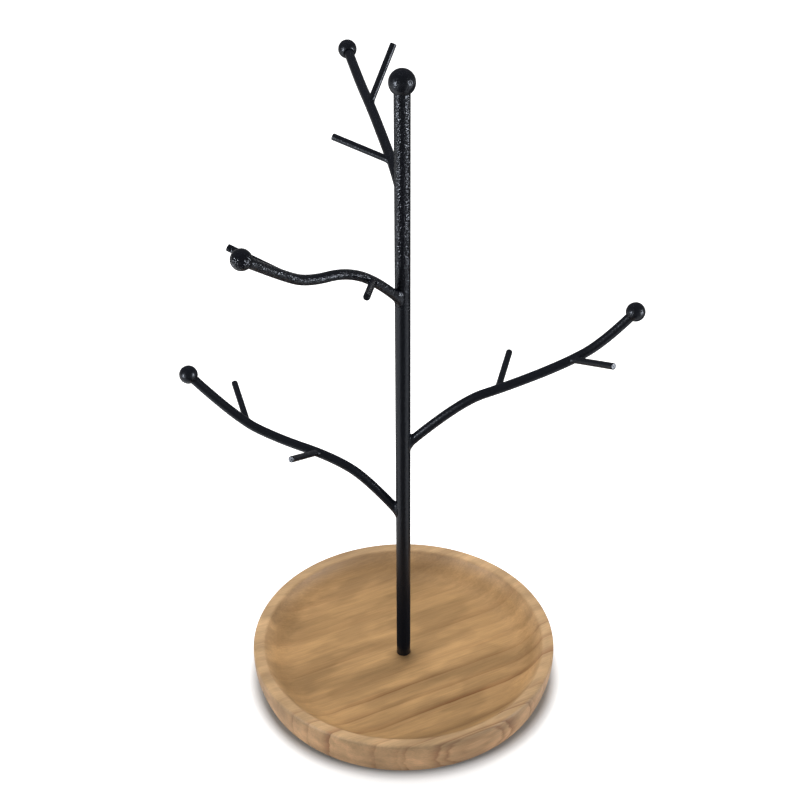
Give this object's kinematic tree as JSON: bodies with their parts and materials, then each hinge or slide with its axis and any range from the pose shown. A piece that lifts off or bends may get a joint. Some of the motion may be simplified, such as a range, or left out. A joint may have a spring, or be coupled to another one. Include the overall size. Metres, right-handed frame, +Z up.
{
  "type": "jewelry tree stand",
  "caption": "Tabletop jewelry tree: a black upright rod with bent branches, side twigs and ball tips, standing in a shallow round wooden dish.",
  "frame": {"origin": "on the upright rod's axis, at the underside of the base pad, which is the table plane", "axes": "+Z up along the rod; -Y towards the front, the side that the picture shows; +X to the right"},
  "size_m": [0.194, 0.1647, 0.2899],
  "materials": {
    "dish_wood": "turned pine, clear satin",
    "black_powder_coat": "fine-textured satin powder coat",
    "pad_rubber": "matte foam rubber",
    "zinc_steel": "zinc plated"
  },
  "bodies": {
    "root": {"wooden_dish": "dish_wood", "base_pad": "pad_rubber", "fixing_screw": "zinc_steel", "fixing_washer": "zinc_steel", "stem": "black_powder_coat", "finial_ball": "black_powder_coat", "upper_back_branch": "black_powder_coat", "upper_back_ball": "black_powder_coat", "upper_back_inner_twig": "black_powder_coat", "upper_back_outer_twig": "black_powder_coat", "upper_front_branch": "black_powder_coat", "upper_front_ball": "black_powder_coat", "upper_front_inner_twig": "black_powder_coat", "upper_front_outer_twig": "black_powder_coat", "lower_right_branch": "black_powder_coat", "lower_right_ball": "black_powder_coat", "lower_right_inner_twig": "black_powder_coat", "lower_right_outer_twig": "black_powder_coat", "lower_left_branch": "black_powder_coat", "lower_left_ball": "black_powder_coat", "lower_left_inner_twig": "black_powder_coat", "lower_left_outer_twig": "black_powder_coat"}
  },
  "joints": []
}
